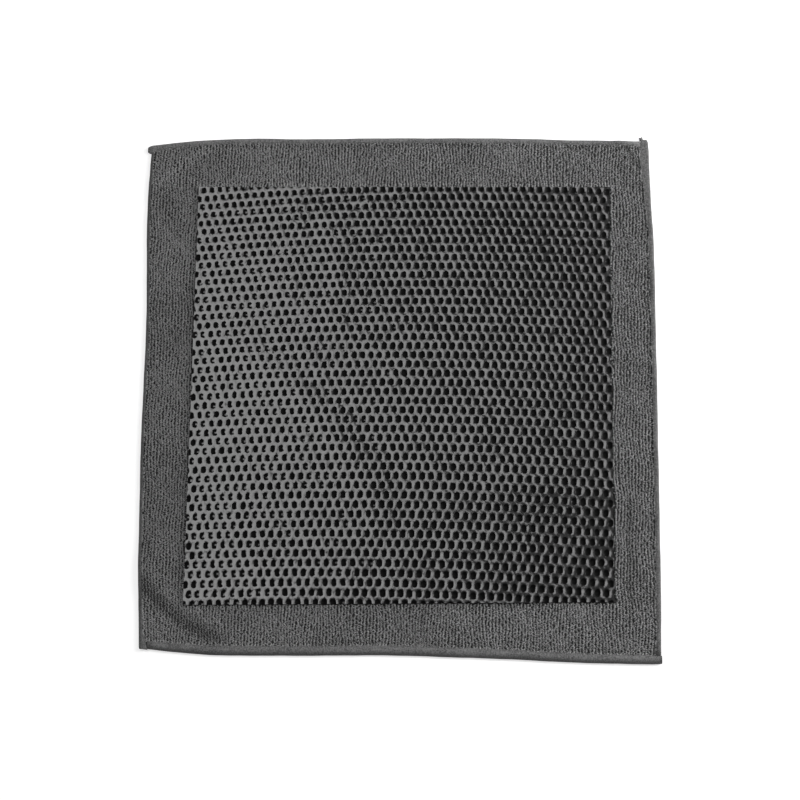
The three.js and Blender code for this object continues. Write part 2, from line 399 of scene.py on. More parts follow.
def pile_recipe(place):
    # The tone mark carries each loop's own tone together with its painted light and shade.
    tone_and_painted_light = place.mark("tone_and_painted_light")
    cloud = place.noise(20.0, 3.0)
    speck = place.noise(1700.0, 1.0).spread(0.3, 0.7)
    fibre = place.scaled((1.0, 0.35, 1.0)).noise(4200.0, 2.0)
    shade = (0.43 * tone_and_painted_light + 0.47 * speck + 0.25 * cloud).spread(0.23, 0.83)
    return {
        "Base_Color": shade.grey(0.024, 0.420),
        "Roughness": 0.85 + 0.1 * fibre,
        "Normal": fibre.bump(0.6, 0.0001),
        **SOFT,
    }


def ground_recipe(place):
    ribs = place.scaled((1.0, 0.4, 1.0)).noise(900.0, 3.0)
    return {
        "Base_Color": ribs.spread(0.3, 0.7).grey(0.022, 0.045),
        "Roughness": 0.95,
        "Specular_IOR_Level": 0.2,
        "Normal": ribs.bump(0.8, 0.0003),
    }


def rib_recipe(place):
    loops = place.scaled((1.0, 1.6, 1.0)).noise(900.0, 3.0, 0.7)
    cloud = place.noise(45.0, 3.0)
    shade = (0.75 * loops + 0.25 * cloud).spread(0.32, 0.68)
    return {
        "Base_Color": shade.grey(0.040, 0.240),
        "Roughness": 0.85 + 0.1 * loops,
        "Normal": loops.bump(0.9, 0.0006),
        **SOFT,
    }


# %% Clay rubber finishes
def rubber_recipe(place):
    mottle = place.noise(1600.0, 3.0)
    handled = place.noise(38.0, 3.0)
    return {
        "Base_Color": handled.spread(0.3, 0.7).grey(0.006, 0.012),
        "Roughness": 0.12 + 0.12 * mottle + 0.05 * handled,
        "Specular_IOR_Level": 1.0,
        "Normal": mottle.bump(0.2, 0.00006),
    }


# Painted shade: the pits are much darker and duller than the rubber, to stand in for the dark down
# in deep pits.
def pit_shade_recipe(place):
    dust = place.noise(1500.0, 2.0)
    return {
        "Base_Color": dust.spread(0.35, 0.75).grey(0.001, 0.006),
        "Roughness": 0.6 + 0.2 * dust,
        "Specular_IOR_Level": 0.06,
        "Normal": dust.bump(0.3, 0.0001),
    }


# The floors are painted darker than the rubber as well, painted shade; their gloss follows the
# polish mark.
def pit_floor_recipe(place):
    dust = place.noise(1100.0, 2.0)
    return {
        "Base_Color": dust.spread(0.35, 0.75).grey(0.002, 0.009),
        "Roughness": 0.5 + 0.1 * dust - 0.3 * place.mark("polish"),
        "Specular_IOR_Level": 1.0,
        "Normal": dust.bump(0.3, 0.0001),
    }


# %% Tape and thread finishes
def tape_recipe(place):
    weave = place.mark("weave", "Vector")
    threads = 0.5 * weave.bands("X", 700.0, 0.8) + 0.5 * weave.bands("Y", 900.0, 0.5)
    cloud = place.noise(70.0, 3.0)
    fuzz = place.noise(1300.0, 2.0, 0.8)
    grain = (0.15 * threads + 0.15 * cloud + 0.70 * fuzz).spread(0.37, 0.63)
    return {
        # The tone mark here is the painted light and shade of the tape's outer fold.
        "Base_Color": (place.mark("tone_and_painted_light") * grain).grey(0.030, 0.230),
        "Roughness": 0.75 + 0.15 * threads,
        "Specular_IOR_Level": 0.35,
        "Sheen_Weight": 0.15,
        "Sheen_Roughness": 0.4,
        "Normal": fuzz.bump(0.7, 0.0004, threads.bump(0.5, 0.00012)),
    }


def thread_recipe(place, dark, pale):
    ply = place.noise(3000.0, 2.0)
    return {
        "Base_Color": ply.spread(0.3, 0.7).grey(dark, pale),
        "Roughness": 0.6 + 0.2 * ply,
        "Specular_IOR_Level": 0.4,
        "Normal": ply.bump(0.5, 0.0001),
    }


FINISH = {
    "pile": finish("microfibre_loops", pile_recipe),
    "ground": finish("microfibre_ground", ground_recipe),
    "rubber": finish("clay_rubber", rubber_recipe),
    "pit": finish("clay_pit_shade", pit_shade_recipe),
    "pit_floor": finish("clay_pit_floor", pit_floor_recipe),
    "tape": finish("woven_tape", tape_recipe),
    "ribs": finish("microfibre_ribs", rib_recipe),
    "thread": finish("sewing_thread", thread_recipe, 0.030, 0.070),
    "tuft": finish("thread_end", thread_recipe, 0.090, 0.180),
}

# %% [markdown]
# ## From arrays to pieces
#
# Every piece starts as an array of points in millimetres and lists of faces. One helper
# turns them into a Blender object: it shifts and scales the points, gives the piece its
# finishes, and lets it ride on the towel's one body.


# %% Helper that makes a piece
def make_piece(
    name, points, faces, finishes, marks=None, finish_of_face=None, corner_normals=None
):
    mesh = bpy.data.meshes.new(name)
    mesh.from_pydata(((points + SHIFT) * MM).tolist(), [], faces)
    for finish in finishes:
        mesh.materials.append(FINISH[finish])
    if finish_of_face is not None:
        mesh.polygons.foreach_set("material_index", np.asarray(finish_of_face, np.int32))
    for mark, values in (marks or {}).items():
        kind = "FLOAT" if values.ndim == 1 else "FLOAT_VECTOR"
        attribute = mesh.attributes.new(mark, kind, "POINT")
        field = "value" if values.ndim == 1 else "vector"
        attribute.data.foreach_set(field, np.ascontiguousarray(values, np.float32).ravel())
    mesh.shade_smooth()
    if corner_normals is not None:
        mesh.normals_split_custom_set(corner_normals)
    made = bpy.data.objects.new(name, mesh)
    scene.collection.objects.link(made)
    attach(made, "root")
    triangles = sum(len(polygon.vertices) - 2 for polygon in mesh.polygons)
    print(f"{name}: {triangles} triangles")
    return made

# %% [markdown]
# ## The cloth
#
# The ground cloth is one closed sheet. Its grid follows the outline at the edges and the
# straight cuts of the clay layer in the middle, so each grid line is a weighted sum of
# four lines: the low edge, the low and high cuts of the clay, and the high edge. Under
# the clay the sheet is raised to the height of flattened pile; in the border it lies low,
# because loops will stand on it there; and at the edge it is pressed thin for the tape.

# %% Grid lines
HEM_WIDTH = TAPE_FLAP + GAP


def grid_weights(hem_offsets, border_steps, clay_steps, clay_offsets):
    """Rows of weights for: low edge, low clay cut, high clay cut, high edge, and 1."""
    low = [(1, 0, 0, 0, offset) for offset in hem_offsets]
    start = HEM_WIDTH + PILE_RISE
    for k in range(border_steps):
        share = k / border_steps
        low.append((1 - share, share, 0, 0, (1 - share) * start))
    low += [(0, 1, 0, 0, offset) for offset in clay_offsets]
    high = [(0, 0, b, a, -offset) for a, b, c, d, offset in reversed(low)]
    across = [(0, 1 - k / clay_steps, k / clay_steps, 0, 0) for k in range(1, clay_steps)]
    return np.array(low + across + high, float)


def crossings(columns, rows, rounds=8):
    """Where each column crosses each row, as two arrays of rows by columns."""
    x = np.zeros((len(rows), len(columns)))
    y = np.zeros_like(x)
    for _ in range(rounds):
        ends = (
            TAPE_OUTSIDE - edge_out(BOTTOM_EDGE, x),
            line_y("bottom_left", "bottom_right", x),
            line_y("top_left", "top_right", x),
            edge_out(TOP_EDGE, x) - TAPE_OUTSIDE,
            np.ones_like(x),
        )
        y = sum(rows[:, k, None] * ends[k] for k in range(5))
        ends = (
            TAPE_OUTSIDE - edge_out(LEFT_EDGE, y),
            line_x("top_left", "bottom_left", y),
            line_x("top_right", "bottom_right", y),
            edge_out(RIGHT_EDGE, y) - TAPE_OUTSIDE,
            np.ones_like(y),
        )
        x = sum(columns[None, :, k] * ends[k] for k in range(5))
    return x, y

# %% The ground cloth
GROUND_TOP = 1.4  # where the loops are rooted
GROUND_UNDER = 0.9
HEM_LOW = 0.8
HEM_HIGH = 1.5


def ground_heights(x, y):
    """Heights of the sheet's two faces."""
    in_from_edge = nearest(edge_insets(x, y)) - TAPE_OUTSIDE
    inside = smooth_step(-0.2, 0.2, nearest(clay_insets(x, y)))
    free = smooth_step(TAPE_FLAP - 0.6, HEM_WIDTH + 1.2, in_from_edge)
    over = HEM_HIGH + free * (GROUND_TOP - HEM_HIGH) + inside * (CLOTH_THICK - GROUND_TOP)
    under = HEM_LOW + free * (GROUND_UNDER - HEM_LOW)
    folds = relief(x, y)
    return under + folds, over + folds


def closed_grid(x, y, under, over):
    """Points and faces of a closed sheet on a grid, its under and over faces joined."""
    rows, columns = x.shape
    low = np.stack([x, y, under], -1).reshape(-1, 3)
    high = np.stack([x, y, over], -1).reshape(-1, 3)
    ids = np.arange(rows * columns).reshape(rows, columns)
    a, b, c, d = ids[:-1, :-1], ids[:-1, 1:], ids[1:, 1:], ids[1:, :-1]
    count = rows * columns
    top = np.stack([a, b, c, d], -1).reshape(-1, 4) + count
    bottom = np.stack([a, d, c, b], -1).reshape(-1, 4)
    rim = np.concatenate([ids[0, :-1], ids[:-1, -1], ids[-1, :0:-1], ids[:0:-1, 0]])
    ahead_on_rim = np.roll(rim, -1)
    walls = np.stack([rim, ahead_on_rim, ahead_on_rim + count, rim + count], -1)
    return np.concatenate([low, high]), np.concatenate([top, bottom, walls]).tolist()


sheet_lines = grid_weights([0.0, 2.0, 3.4, 4.2, 5.4], 8, 60, [-0.35, 0.25])
sheet_x, sheet_y = crossings(sheet_lines, sheet_lines)
sheet_under, sheet_over = ground_heights(sheet_x, sheet_y)
points, faces = closed_grid(sheet_x, sheet_y, sheet_under, sheet_over)
cloth_sheet = make_piece("cloth_sheet", points, faces, ["ground"])
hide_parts("cloth")

# %% [markdown]
# ## The clay layer
#
# The layer is moulded: rows of oval pits, each row shifted half a step, with rounded
# ridges between them. It could be a displaced grid, but a grid fine enough for clean
# ovals would need millions of faces. Instead each pit is its own small cell: a dished
# floor, a steep wall, a rounded shoulder, and a border of twelve points that it shares
# with its neighbours. All cells are made at once as arrays. The rows are not quite
# straight, and the pits grow towards the lower right, as the towel was stretched there.

# %% Where the pits are
PIT_START = (0.76, -6.44)  # a pit near the middle
PIT_STEP = 5.0  # from pit to pit in a row
ROW_STEP = 5.45  # from row to row
ROW_LEAN = -0.21  # sideways drift of each row
ROW_SLOPE = -0.058  # fall of a row for each pit
PIT_GROWTH = 0.0027
ROW_GROWTH = 0.0061
FAN = 0.0063  # widening of the steps from row to row
FALL = 0.0025
ROW_BOW = 0.0066  # rows bow towards the top edge
PULL = 0.0013  # the lower left corner is pulled up a little


def pit_place(u, v):
    """The point at u pits along and v rows down from the starting pit."""
    x = PIT_START[0] + PIT_STEP * u + ROW_LEAN * v + PIT_GROWTH * u * u + FAN * u * v
    down = ROW_STEP * v + ROW_GROWTH * v * v + ROW_BOW * u * u + FALL * u * v
    down = down - PULL * np.maximum(-u, 0) * np.maximum(v, 0)
    return x, PIT_START[1] + ROW_SLOPE * u - down


row, number = np.meshgrid(np.arange(-28, 25), np.arange(-42, 43), indexing="ij")
pit_u = number + 0.5 * (row % 2)  # every other row is shifted half a step
near = nearest(clay_insets(*pit_place(pit_u, row))) > -ROW_STEP
pit_u, pit_v = pit_u[near], row[near].astype(float)
count = len(pit_u)
print("pits on and around the layer:", count)

# %% Borders that the cells share
PIT_SIDES = 12
CORNER_SHARE = 0.395  # height of a cell's upright sides
BORDER_JITTER = 0.06
DIMPLES = 0.02  # share of the border points that have a dimple
DIMPLE_DEPTH = (0.3, 0.8)
CREST_WEAR = 0.05


def cell_borders(u, v):
    """The twelve border points of every cell, shared ones once, and their numbers."""
    h = CORNER_SHARE
    steps_u = np.array([0.5, 0.5, 0.25, 0, -0.25, -0.5, -0.5, -0.5, -0.25, 0, 0.25, 0.5])
    steps_v = np.array([0, -h, -0.5, h - 1, -0.5, -h, 0, h, 0.5, 1 - h, 0.5, h])
    all_u = u[:, None] + steps_u
    all_v = v[:, None] + steps_v
    keys = np.stack([np.rint(all_u * 4), np.rint(all_v * 1000)], -1).reshape(-1, 2)
    _, first, number = np.unique(keys, axis=0, return_index=True, return_inverse=True)
    x, y = pit_place(all_u.ravel()[first], all_v.ravel()[first])
    return x, y, number.reshape(-1, PIT_SIDES), first % PIT_SIDES


rng = np.random.default_rng(41)
border_x, border_y, border_of, station = cell_borders(pit_u, pit_v)
border_x = border_x + rng.normal(0, BORDER_JITTER, border_x.shape)
border_y = border_y + rng.normal(0, BORDER_JITTER, border_y.shape)
border_count = len(border_x)
dimpled = rng.random(border_count) < DIMPLES
dimple = np.where(dimpled, rng.uniform(*DIMPLE_DEPTH, border_count), 0)
crest = CLAY_TOP - dimple - rng.uniform(0, CREST_WEAR, border_count)
print("points that the cells share:", border_count)

# %% Ovals of the pits
PIT_HALF = (1.42, 1.90)  # half a pit's width and height at its rim, near the middle
NARROWER_LEFT = (0.10, 0.12)  # how much smaller the pits are at the left edge
WIDER_DOWN = (0.004, 0.008)  # growth for each row down, and for each pit to the right
WIDER_RIGHT = (-0.004, -0.004)
PIT_JITTER = 0.08
BOXY = 0.72  # below 1, the ovals are a little square
SPUR = (0.2, 0.75)  # how far a spur of the right ridge reaches into a pit at the left

middle_x, middle_y = pit_place(pit_u, pit_v)
middle_x = middle_x + rng.normal(0, PIT_JITTER, count)
middle_y = middle_y + rng.normal(0, PIT_JITTER, count)
at_left = 1 - smooth_step(-24, 4, pit_u)
at_right = np.maximum(pit_u, 0)
low_down = smooth_step(-16, 8, pit_v)
wide, tall = [
    PIT_HALF[k] - NARROWER_LEFT[k] * at_left + WIDER_DOWN[k] * pit_v + WIDER_RIGHT[k] * at_right
    for k in (0, 1)
]
wide = wide * rng.normal(1, 0.05, count)
tall = tall * rng.normal(1, 0.04, count)
lean = rng.normal(0, 0.05, count)
wobble = rng.normal(1, 0.04, (count, PIT_SIDES))
spur = at_left * rng.uniform(*SPUR, count) * (rng.random(count) < 0.3 + 0.6 * low_down)
spur = spur * (nearest(clay_insets(middle_x, middle_y)) > PIT_STEP)  # not where it is cut
wobble[:, 0] *= 1 - spur
wobble[:, 1] *= 1 - 0.6 * spur * low_down
turn_by = np.arange(PIT_SIDES) * 2 * np.pi / PIT_SIDES
unit_x, unit_y = [np.sign(w) * np.abs(w) ** BOXY for w in (np.cos(turn_by), np.sin(turn_by))]
oval_x = wide[:, None] * unit_x * wobble
oval_y = tall[:, None] * unit_y * wobble
oval_x = oval_x + lean[:, None] * oval_y
print("pits with a spur:", int((spur > 0).sum()))

# %% Rings of points, from the floor of a pit up to its border
FLOOR_WIDE = (0.34, 0.44)  # the floor's size as shares of the pit's
FLOOR_TALL = (0.20, 0.38)
FLOOR_RIGHT = (0.34, 0.46)  # the floor lies off the middle, towards the right
FLOOR_UP = (-0.30, 0.20)
FLOOR_HEIGHT = 0.16  # above the layer's underside
FLOOR_UNEVEN = 0.15
FLOOR_DISH = 0.03
RIM_DROP = 0.24  # from the crest down to the rim
SHOULDER_DROP = 0.09
SHOULDER_SHARE = 0.16  # of the way from the rim to the border

floor_z = CLAY_BASE + FLOOR_HEIGHT
lift = rng.uniform(0, FLOOR_UNEVEN, count)[:, None]
hub_x = middle_x + wide * rng.uniform(*FLOOR_RIGHT, count) * (1 - spur)
hub_y = middle_y + tall * rng.uniform(*FLOOR_UP, count)
floor_x = hub_x[:, None] + oval_x * rng.uniform(*FLOOR_WIDE, (count, 1))
floor_y = hub_y[:, None] + oval_y * rng.uniform(*FLOOR_TALL, (count, 1))
rim_x = middle_x[:, None] + oval_x
rim_y = middle_y[:, None] + oval_y
shoulder_x = rim_x + (border_x[border_of] - rim_x) * SHOULDER_SHARE
shoulder_y = rim_y + (border_y[border_of] - rim_y) * SHOULDER_SHARE
full = np.ones((count, PIT_SIDES))
groups = [
    (border_x, border_y, crest),
    (hub_x, hub_y, floor_z + lift[:, 0]),
    (floor_x, floor_y, (floor_z + FLOOR_DISH + lift) * full),
    (rim_x, rim_y, (CLAY_TOP - RIM_DROP) * full),
    (shoulder_x, shoulder_y, CLAY_TOP - SHOULDER_DROP - 0.5 * dimple[border_of]),
]
cell_points = np.concatenate([np.stack(group, -1).reshape(-1, 3) for group in groups])
print("points of all cells:", len(cell_points))

# %% [markdown]
# A cell has too few faces to look round, and finer ones would cost too many triangles. So
# each point also carries a tilt, the way the moulded surface faces there, and the tilts
# become the mesh's soft normals. At the right the crests lean to the left. A fold tilts
# the layer less than its slope, because the ridges are soft. Some floors at the left are
# glossy, and a third mark says how much.

# %% Which way each point faces, and how glossy it is
RING_SLOPES = (0.06, 0.75, 0.20)  # how steep the surface is at floor, rim and shoulder
ROUNDER_RIGHT = 0.06  # how much steeper the shoulders are at the right edge
FLATTER_LEFT = 0.5  # the shoulders at a pit's left side are this much flatter
# how far the crests lean at the right edge, for each of a cell's twelve border points
LEAN_LEFT = 0.10 * np.array([1, 0.9, 1, 0.9, -0.4, 0.9, 1, 0.9, 1, 0.9, -0.4, 0.9])
LEAN_DOWN = 0.05 * np.array([0, 0, 0.8, 0, -0.5, 0, 0, 0, 0.8, 0, -0.5, 0])
UNEVEN = 0.05
FOLD_SHINE = 0.6
GLOSS = (0.3, 0.8)

inward = np.stack([-oval_x, -oval_y], -1)
shoulder = RING_SLOPES[2] + ROUNDER_RIGHT * smooth_step(-20, 22, pit_u)
slopes = [RING_SLOPES[0] * full, RING_SLOPES[1] * full, shoulder[:, None] * full]
slopes[2][:, 4:9] *= FLATTER_LEFT
slopes[2][:, 0] *= 1 - spur
ring_tilts = [(slope / np.hypot(*inward.T).T)[..., None] * inward for slope in slopes]
leaning = smooth_step(-60, 90, border_x)
leans = (station % 6 == 0) | (border_y > -60) | (rng.random(border_count) < 0.2)
level = np.zeros((border_count + count, 2))
level[:border_count, 0] = -LEAN_LEFT[station] * leaning * leans
level[:border_count, 1] = -LEAN_DOWN[station] * leaning * leans
tilt = np.concatenate([level, *[t.reshape(-1, 2) for t in ring_tilts]])
tilt += rng.normal(0, UNEVEN, tilt.shape)
shiny = at_left * rng.uniform(*GLOSS, count)
shiny = shiny * (rng.random(count) < 0.04 + at_left * (0.25 + 0.25 * low_down))
glossy = shiny > 0.05

ring_start = border_count + count
cell_ids = np.arange(count * PIT_SIDES).reshape(count, PIT_SIDES)
loops = [ring_start + k * count * PIT_SIDES + cell_ids for k in range(3)] + [border_of]
right_rim = loops[1][:, [0, PIT_SIDES - 1]].ravel()
polish = np.zeros(len(cell_points))
polish[border_count:ring_start] = shiny
polish[loops[0].ravel()] = np.repeat(shiny, PIT_SIDES)
polish[right_rim] = np.repeat(shiny, 2)
tilt[right_rim] *= 1 - 0.85 * np.repeat(glossy, 2)[:, None]
x, y = cell_points[:, 0], cell_points[:, 1]
cell_points[:, 2] += relief(x, y)
tilt[:, 0] -= FOLD_SHINE * (relief(x + 0.5, y) - relief(x - 0.5, y))
tilt[:, 1] -= FOLD_SHINE * (relief(x, y + 0.5) - relief(x, y - 0.5))
print("glossy floors:", int(glossy.sum()))

# %% Faces of the cells
RUBBER, PIT, PIT_FLOOR = range(3)
SMOOTH_WALLS = [0, 1, 10, 11]  # sides, counted from the right, whose upper wall is glossy

hub = np.repeat(border_count + np.arange(count), PIT_SIDES)
fan = np.stack([hub, loops[0].ravel(), np.roll(loops[0], -1, 1).ravel()], -1)
cell_faces = fan.tolist()
cell_kinds = np.repeat(np.where(glossy, PIT_FLOOR, PIT), PIT_SIDES).tolist()
for k, kind_of_band in enumerate((PIT, PIT, RUBBER)):
    inner, outer = loops[k], loops[k + 1]
    band = np.stack([inner, outer, np.roll(outer, -1, 1), np.roll(inner, -1, 1)], -1)
    cell_faces += band.reshape(-1, 4).tolist()
    kind = np.full((count, PIT_SIDES), kind_of_band)
    if k == 0:
        kind[np.ix_(glossy, [0, PIT_SIDES - 1])] = PIT_FLOOR
    if k == 1:
        kind[:, SMOOTH_WALLS] = RUBBER
    cell_kinds += kind.ravel().tolist()
print("faces of all cells:", len(cell_faces))

# %% [markdown]
# The sheet of cells is larger than the layer, like the moulded web it was cut from. Four
# straight cuts bring it to size, right through whatever pits lie on the line. Then the
# open edge is drawn straight down to make the layer's sides, and a light mesh closes the
# underside.

# %% Cut the layer out
MARKS = ("tilt_x", "tilt_y", "polish")

layer = bmesh.new()
for name in MARKS:
    layer.verts.layers.float.new(name)
mark_layers = [layer.verts.layers.float[name] for name in MARKS]
verts = [layer.verts.new(p) for p in cell_points.tolist()]
for vert, values in zip(verts, np.column_stack([tilt, polish]).tolist()):
    for mark_layer, value in zip(mark_layers, values):
        vert[mark_layer] = value
for face, kind in zip(cell_faces, cell_kinds):
    layer.faces.new([verts[i] for i in face]).material_index = kind
names = ["bottom_left", "bottom_right", "top_right", "top_left"]
for a, b in zip(names, names[1:] + names[:1]):
    start = Vector((*CLAY_CORNERS[a], 0))
    outward = (Vector((*CLAY_CORNERS[b], 0)) - start).cross(Vector((0, 0, 1)))
    geometry = layer.verts[:] + layer.edges[:] + layer.faces[:]
    bmesh.ops.bisect_plane(
        layer, geom=geometry, plane_co=start, plane_no=outward, clear_outer=True, dist=0.01
    )
loose = [v for v in layer.verts if not v.link_faces]
bmesh.ops.delete(layer, geom=loose, context="VERTS")
print("faces left after the cuts:", len(layer.faces))

# %% Close its sides and its underside
UNDER_HALF = 117
UNDER_LINES = 22

rim = [e for e in layer.edges if e.is_boundary]
drawn = bmesh.ops.extrude_edge_only(layer, edges=rim)["geom"]
low = [g for g in drawn if isinstance(g, bmesh.types.BMVert)]
low_edges = [g for g in drawn if isinstance(g, bmesh.types.BMEdge) and g.is_boundary]
for v in low:
    v.co.z = CLAY_BASE + float(relief(v.co.x, v.co.y))
steps = np.linspace(-UNDER_HALF, UNDER_HALF, UNDER_LINES)
grid_x, grid_y = [g.ravel() for g in np.meshgrid(steps, steps)]
heights = CLAY_BASE + relief(grid_x, grid_y)
all_low = low + [layer.verts.new(p) for p in zip(grid_x, grid_y, heights)]
number = {v: i for i, v in enumerate(low)}
flat = [Vector((v.co.x, v.co.y)) for v in all_low]
edges = [(number[e.verts[0]], number[e.verts[1]]) for e in low_edges]
made = delaunay_2d_cdt(flat, edges, [], 1, 1e-6)
source = [all_low[found[0]] for found in made[3]]
for face in made[2]:
    layer.faces.new([source[i] for i in reversed(face)])
bmesh.ops.recalc_face_normals(layer, faces=layer.faces[:])
print("faces of the closed layer:", len(layer.faces))

# %% The layer as a piece
layer.verts.index_update()
tilt_x, tilt_y, gloss = [layer.verts.layers.float[name] for name in MARKS]
layer_normals = []
for face in layer.faces:
    for vert in face.verts:
        soft = Vector((vert[tilt_x], vert[tilt_y], 1.0)).normalized()
        layer_normals.append(soft if face.normal.z > 0.1 else face.normal.copy())
clay_lattice = make_piece(
    "clay_lattice",
    np.array([v.co for v in layer.verts]),
    [[v.index for v in face.verts] for face in layer.faces],
    ["rubber", "pit", "pit_floor"],
    marks={"polish": np.array([vert[gloss] for vert in layer.verts])},
    finish_of_face=[face.material_index for face in layer.faces],
    corner_normals=layer_normals,
)
layer.free()
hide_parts("clay_layer")

# %% [markdown]
# ## The loops
#
# Microfibre terry is knitted in ribs, and each rib is a line of small yarn loops that lie
# over one way or another. Hair would be a natural choice, but hair does not leave
# Blender as a mesh. Each loop here is a short bent bean of yarn with both ends in the
# ground cloth. One function bends thousands of them at once; each has its own length,
# heading, bend and tone, and the rows of a rib wander a little. Loops stand taller beside
# the clay and the tape, where nothing rubs them. Each loop's top is painted lighter and
# its sides and ends darker, a painted shade between the loops; taller loops get painted
# light, loops pressed into a crease get painted shade, and those in a raised one painted light.

# %% Beans of yarn
BEAN_RINGS = 2
BEAN_SIDES = 4


def beans(start, heading, length, width, low, high, bend):
    """Points, faces, owner numbers and upward shares of many bent beans of yarn."""
    count = len(length)
    s = np.linspace(-0.5, 0.5, BEAN_RINGS)
    turn_by = np.arange(BEAN_SIDES) * 2 * np.pi / BEAN_SIDES
    along = np.stack([np.cos(heading), np.sin(heading)], -1)
    across = np.stack([-along[:, 1], along[:, 0]], -1)
    taper = np.sqrt(1 - s * s)
    lift = (1 - s**4) ** 0.8
    path = (
        start[:, None, :]
        + along[:, None, :] * (0.5 * length[:, None] * s)[..., None]
        + across[:, None, :] * (bend[:, None] * (1 - s * s))[..., None]
    )
    radius = 0.5 * width[:, None] * (0.3 + 0.7 * taper)
    centre = low[:, None] + (high - low)[:, None] * lift - radius
    side = radius[:, :, None] * np.cos(turn_by)
    xy = path[:, :, None, :] + across[:, None, None, :] * side[..., None]
    z = centre[:, :, None] + radius[:, :, None] * np.sin(turn_by)
    rings = np.concatenate([xy, z[..., None]], -1).reshape(count, -1, 3)
    ends = []
    for sign in (-1, 1):
        tip = start + along * (0.5 * sign * length)[:, None]
        ends.append(np.concatenate([tip, (low - 0.3)[:, None]], -1))
    points = np.concatenate([rings, np.stack(ends, 1)], 1)
    upward = np.tile(0.5 + 0.5 * np.sin(turn_by), BEAN_RINGS) * np.repeat(lift, BEAN_SIDES)
    upward = np.tile(np.concatenate([upward, [0, 0]]), count)
    per = BEAN_RINGS * BEAN_SIDES + 2
    ids = np.arange(BEAN_RINGS * BEAN_SIDES).reshape(BEAN_RINGS, BEAN_SIDES)
    ahead_ids = np.roll(ids, -1, 1)
    quads = np.stack([ids[:-1], ahead_ids[:-1], ahead_ids[1:], ids[1:]], -1).reshape(-1, 4)
    first_cap = np.stack([np.full(BEAN_SIDES, per - 2), ahead_ids[0], ids[0]], -1)
    last_cap = np.stack([np.full(BEAN_SIDES, per - 1), ids[-1], ahead_ids[-1]], -1)
    offsets = (np.arange(count) * per)[:, None, None]
    faces = (offsets + quads).reshape(-1, 4).tolist()
    faces += (offsets + np.concatenate([first_cap, last_cap])).reshape(-1, 3).tolist()
    return points.reshape(-1, 3), faces, np.repeat(np.arange(count), per), upward

# %% How much of the tape shows
# rows: along, width of tape that shows on the upper side, from the outline in
BARE_TAPE = {
    "top": [(-152, 4.95), (-147.5, 4.95), (-142, 3.7), (-120, 3.4), (0, 3.3), (151, 3.1)],
    "left": [(-151, 4.95), (-145, 4.95), (-140, 2.4), (-100, 2.0), (0, 1.9), (151, 1.9)],
    "bottom": [(-151, 4.6), (-130, 5.2), (-100, 5.6), (0, 5.7), (140, 5.3), (151, 4.95)],
    "right": [(-159, 2.8), (100, 2.8), (117, 3.8), (127, 4.95), (151, 4.95)],
}


def bare_tape(side, along):
    at, width = np.array(BARE_TAPE[side]).T
    return np.interp(along, at, width)

# %% Rows of loops
WALE_STEP = 1.75
LOOP_LENGTHS = (0.42, 0.92)
LOOP_STEPS = (0.72, 0.92)  # to the next loop, as shares of a loop's length


def loop_rows(rng):
    """Places and lengths of loops, walked column by column from the bottom edge up."""
    xs, ys, lengths = [], [], []
    for column in np.arange(-152, 152, WALE_STEP):
        y = -160 + rng.uniform(0, 3)
        while y < 156:
            length = rng.uniform(*LOOP_LENGTHS)
            xs.append(column)
            ys.append(y + length / 2)
            lengths.append(length)
            y += length * rng.uniform(*LOOP_STEPS)
    return np.array(xs), np.array(ys), np.array(lengths)


loop_x, loop_y, loop_length = loop_rows(np.random.default_rng(7))
print("loops before any is left out:", len(loop_x))

# %% How each loop lies
LOOP_WIDTH = 1.45
LOOP_TURN = 0.5  # off the line of its rib
STRAYS = 0.15
STRAY_TURN = 1.2

rng = np.random.default_rng(8)
count = len(loop_x)
wander = 0.4 * np.sin(loop_y * 0.21 + loop_x * 0.17) + 0.5 * np.sin(loop_y * 0.083 - loop_x * 0.09)
loop_x = loop_x + wander + rng.normal(0, 0.26, count)
heading = np.pi / 2 + rng.normal(0, LOOP_TURN, count)
stray = rng.random(count) < STRAYS
heading = heading + np.where(stray, rng.uniform(-STRAY_TURN, STRAY_TURN, count), 0)
bend = rng.normal(0, 0.12, count)
width = LOOP_WIDTH * rng.normal(1, 0.15, count).clip(0.6, 1.35)
fuller = 0.12 * (1 - smooth_step(-150, -20, loop_x)) + 0.10 * (1 - smooth_step(-150, -100, loop_y))
width = width * (1 + fuller)
# Random tone whose spread grows to the right: painted shading that stands in for the stronger
# raking light on that side.
loop_tone_and_painted_light = 0.5 + rng.uniform(-0.5, 0.5, count) * (0.5 + 0.8 * smooth_step(-140, 100, loop_x))

# %% Which loops stay, and how high they stand
LOOP_TOP = 2.05
FREE_RISE = 0.3  # away from the tape
LOOP_TOPS = (1.75, 3.0)

edge_in = edge_insets(loop_x, loop_y)
along_side = {"top": loop_x, "bottom": loop_x, "left": loop_y, "right": loop_y}
bare = np.minimum.reduce([edge_in[k] - bare_tape(k, along_side[k]) for k in edge_in])
clay_in = clay_insets(loop_x, loop_y)
out_of_clay = nearest(clay_in) < -rng.uniform(0.2, 0.6, count)
keep = (bare > rng.uniform(-0.9, 0.2, count)) & out_of_clay
side_of = np.select([clay_in[k] < 0 for k in ("top", "bottom", "left")], [0, 1, 2], default=3)
top = LOOP_TOP + FREE_RISE * smooth_step(0.0, PILE_RISE, bare) + rng.normal(0, 0.16, count)
top = top + 0.6 * hump(bare / 1.2) + 0.5 * hump((nearest(clay_in) + 0.5) / 2.5)
pressed = relief(loop_x, loop_y, CREASES)
top = np.clip(top - pressed, *LOOP_TOPS)
width = np.minimum(width, top - 0.3)  # none reaches the underside
folds = relief(loop_x, loop_y)
print("loops that stay:", int(keep.sum()))

